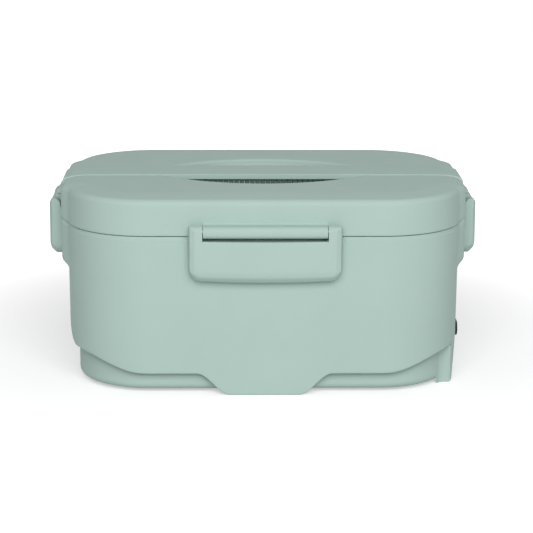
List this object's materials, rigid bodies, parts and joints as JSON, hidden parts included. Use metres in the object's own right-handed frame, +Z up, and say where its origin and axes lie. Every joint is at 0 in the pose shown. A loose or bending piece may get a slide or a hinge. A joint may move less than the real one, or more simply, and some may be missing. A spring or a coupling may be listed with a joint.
{
  "type": "electric lunch box",
  "caption": "Heated lunch box: rounded base with a mains inlet, lift-off lid with strap handle and clip latches, steel food container and side-dish tray inside.",
  "frame": {"origin": "middle of the box's footprint, on the table", "axes": "+Z up, -Y towards the front latch, +X towards the side with the mains inlet"},
  "size_m": [0.2426, 0.1806, 0.1114],
  "materials": {
    "shell_plastic": "satin moulded polypropylene, pale green",
    "liner_plastic": "smooth moulded polypropylene",
    "tray_plastic": "smooth food-grade polypropylene",
    "black_plastic": "smooth black",
    "foot_rubber": "matt",
    "grip_rubber": "matt soft grip",
    "seal_silicone": "matt silicone",
    "container_steel": "brushed stainless steel",
    "screw_steel": "bright steel",
    "plate_aluminium": "plain pressed aluminium",
    "heater_ceramic": "matt ceramic",
    "contact_brass": "bright",
    "wire_brown": "insulated wire",
    "wire_blue": "insulated wire"
  },
  "bodies": {
    "base": {"outer_shell": "shell_plastic", "bottom_cover": "shell_plastic", "rubber_feet": "foot_rubber", "cover_screws": "screw_steel", "well_liner": "liner_plastic", "heating_plate": "plate_aluminium", "heater_block": "heater_ceramic", "heater_clamp": "screw_steel", "clamp_screws": "screw_steel", "thermostat": "black_plastic", "thermal_fuse": "heater_ceramic", "fuse_clip": "screw_steel", "ac_inlet": "black_plastic", "inlet_pin_live": "contact_brass", "inlet_pin_neutral": "contact_brass", "wire_live": "wire_brown", "wire_link": "wire_brown", "wire_heater": "wire_brown", "wire_neutral": "wire_blue"},
    "lid": {"lid_shell": "shell_plastic", "handle_strap": "shell_plastic", "strap_pad": "grip_rubber", "strap_screws": "screw_steel", "grip_cup": "shell_plastic", "lid_panel": "liner_plastic", "lid_seal": "seal_silicone", "panel_screws": "screw_steel", "hinge_pin_front": "screw_steel", "hinge_pin_right": "screw_steel", "hinge_pin_back": "screw_steel", "hinge_pin_left": "screw_steel"},
    "front_latch": {"latch_front": "shell_plastic"},
    "right_latch": {"latch_right": "shell_plastic"},
    "back_latch": {"latch_back": "shell_plastic"},
    "left_latch": {"latch_left": "shell_plastic"},
    "container": {"food_container": "container_steel"},
    "tray": {"side_dish_tray": "tray_plastic"}
  },
  "joints": [
    {"name": "lid_lift", "type": "slide", "parent": "base", "child": "lid", "axis": [0, 0, 1], "range_m": [0, 0.14]},
    {"name": "front_latch_swing", "type": "hinge", "parent": "lid", "child": "front_latch", "pos_m": [0, -0.0872, 0.093], "axis": [-1, 0, 0], "range_deg": [0, 130]},
    {"name": "right_latch_swing", "type": "hinge", "parent": "lid", "child": "right_latch", "pos_m": [0.1182, 0, 0.095], "axis": [0, -1, 0], "range_deg": [0, 130]},
    {"name": "back_latch_swing", "type": "hinge", "parent": "lid", "child": "back_latch", "pos_m": [0, 0.0872, 0.093], "axis": [1, 0, 0], "range_deg": [0, 130]},
    {"name": "left_latch_swing", "type": "hinge", "parent": "lid", "child": "left_latch", "pos_m": [-0.1182, 0, 0.095], "axis": [0, 1, 0], "range_deg": [0, 130]},
    {"name": "container_lift", "type": "slide", "parent": "base", "child": "container", "axis": [0, 0, 1], "range_m": [0, 0.07]},
    {"name": "tray_lift", "type": "slide", "parent": "base", "child": "tray", "axis": [0, 0, 1], "range_m": [0, 0.11]}
  ],
  "couplings": [
    {"joint": "container_lift", "follows": "lid_lift", "ratio": 0.45},
    {"joint": "tray_lift", "follows": "lid_lift", "ratio": 0.75}
  ]
}
